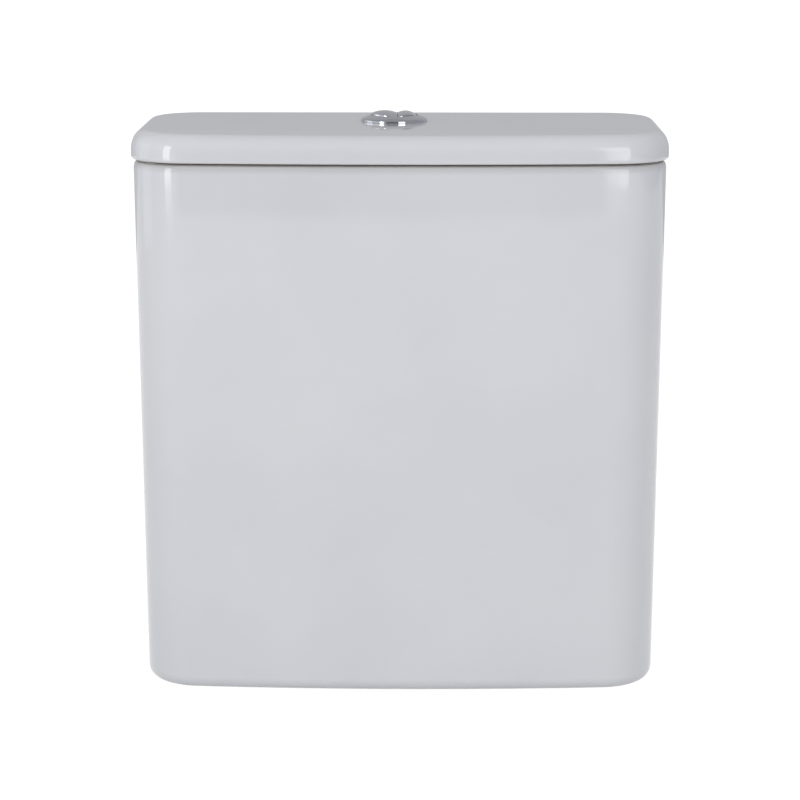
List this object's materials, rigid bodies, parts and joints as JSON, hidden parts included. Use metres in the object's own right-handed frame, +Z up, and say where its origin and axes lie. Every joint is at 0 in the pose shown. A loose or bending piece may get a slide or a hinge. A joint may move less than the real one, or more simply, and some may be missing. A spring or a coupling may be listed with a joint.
{
  "type": "toilet cistern",
  "caption": "Close-coupled ceramic toilet cistern: tapered tank, lift-off lid with a chromed dual-flush button, flush valve with overflow tube, and a bottom-inlet float fill valve.",
  "frame": {"origin": "on the flush outlet's axis, in the plane of the tank's foot", "axes": "+X to the right seen from the front, -Y out of the front, +Y into the wall, +Z up"},
  "size_m": [0.38, 0.1725, 0.4398],
  "materials": {
    "glaze": "glossy white glaze",
    "chrome": "polished chrome plate",
    "white_plastic": "moulded, satin",
    "grey_plastic": "moulded, matte",
    "blue_plastic": "moulded, satin",
    "float_plastic": "moulded, matte",
    "clear_gasket": "soft, pale",
    "black_rubber": "moulded, matte",
    "red_rubber": "moulded, matte",
    "foam": "closed-cell foam",
    "steel": "zinc-plated"
  },
  "bodies": {
    "tank_body": {"tank": "glaze", "valve_base": "white_plastic", "base_washer": "black_rubber", "outlet_nut": "white_plastic", "coupling_gasket": "foam", "valve_tower": "white_plastic", "valve_bridge": "grey_plastic", "rocker_pin": "steel", "fill_shank": "white_plastic", "inlet_washer": "black_rubber", "inlet_nut": "white_plastic", "inlet_strainer": "blue_plastic", "fill_riser": "white_plastic", "riser_lock_ring": "blue_plastic", "fill_head": "white_plastic", "fill_cap": "white_plastic", "fill_diaphragm": "black_rubber", "float_lever_pin": "steel", "coupling_bolts": "steel", "bolt_rubber_washers": "black_rubber", "bolt_steel_washers": "steel", "bolt_nuts": "steel"},
    "lid_body": {"lid": "glaze", "button_bezel": "chrome", "bezel_gasket": "clear_gasket", "button_barrel": "white_plastic", "barrel_nut": "white_plastic", "full_button_spring": "steel", "half_button_spring": "steel"},
    "full_button_body": {"full_flush_button": "chrome", "full_push_rod": "white_plastic"},
    "half_button_body": {"half_flush_button": "chrome", "half_push_rod": "blue_plastic"},
    "full_rocker_body": {"full_flush_rocker": "white_plastic"},
    "half_rocker_body": {"half_flush_rocker": "blue_plastic"},
    "spindle_body": {"overflow_tube": "white_plastic", "lift_collar": "grey_plastic", "flush_seal": "red_rubber", "seal_clamp": "white_plastic", "flush_float": "float_plastic"},
    "float_body": {"float_cup": "float_plastic", "float_link": "steel"},
    "float_lever_body": {"float_lever": "white_plastic"}
  },
  "joints": [
    {"name": "lid_lift", "type": "slide", "parent": "tank_body", "child": "lid_body", "axis": [0, 0, 1], "range_m": [0, 0.12]},
    {"name": "full_button_press", "type": "slide", "parent": "lid_body", "child": "full_button_body", "axis": [0, 0, -1], "range_m": [0, 0.007], "stiffness_N_per_m": 300, "springref_m": -0.012, "deforming": ["full_button_spring"]},
    {"name": "half_button_press", "type": "slide", "parent": "lid_body", "child": "half_button_body", "axis": [0, 0, -1], "range_m": [0, 0.007], "stiffness_N_per_m": 300, "springref_m": -0.012, "deforming": ["half_button_spring"]},
    {"name": "full_rocker_tilt", "type": "hinge", "parent": "tank_body", "child": "full_rocker_body", "pos_m": [0, -0.0115, 0.297], "axis": [1, 0, 0], "range_deg": [0, 38.2]},
    {"name": "half_rocker_tilt", "type": "hinge", "parent": "tank_body", "child": "half_rocker_body", "pos_m": [0, -0.0115, 0.297], "axis": [1, 0, 0], "range_deg": [0, 38.2]},
    {"name": "overflow_tube_lift", "type": "slide", "parent": "tank_body", "child": "spindle_body", "axis": [0, 0, 1], "range_m": [0, 0.008]},
    {"name": "float_rise", "type": "slide", "parent": "tank_body", "child": "float_body", "axis": [0, 0, 1], "range_m": [0, 0.018]},
    {"name": "float_lever_tilt", "type": "hinge", "parent": "tank_body", "child": "float_lever_body", "pos_m": [0.132, 0, 0.345], "axis": [0, 1, 0], "range_deg": [0, 28.7]}
  ],
  "couplings": [
    {"joint": "full_rocker_tilt", "follows": "full_button_press", "rad_per_m": 95.238},
    {"joint": "overflow_tube_lift", "follows": "full_button_press", "ratio": 1.1429},
    {"joint": "half_rocker_tilt", "follows": "half_button_press", "rad_per_m": 95.238},
    {"joint": "float_lever_tilt", "follows": "float_rise", "rad_per_m": 27.778}
  ]
}
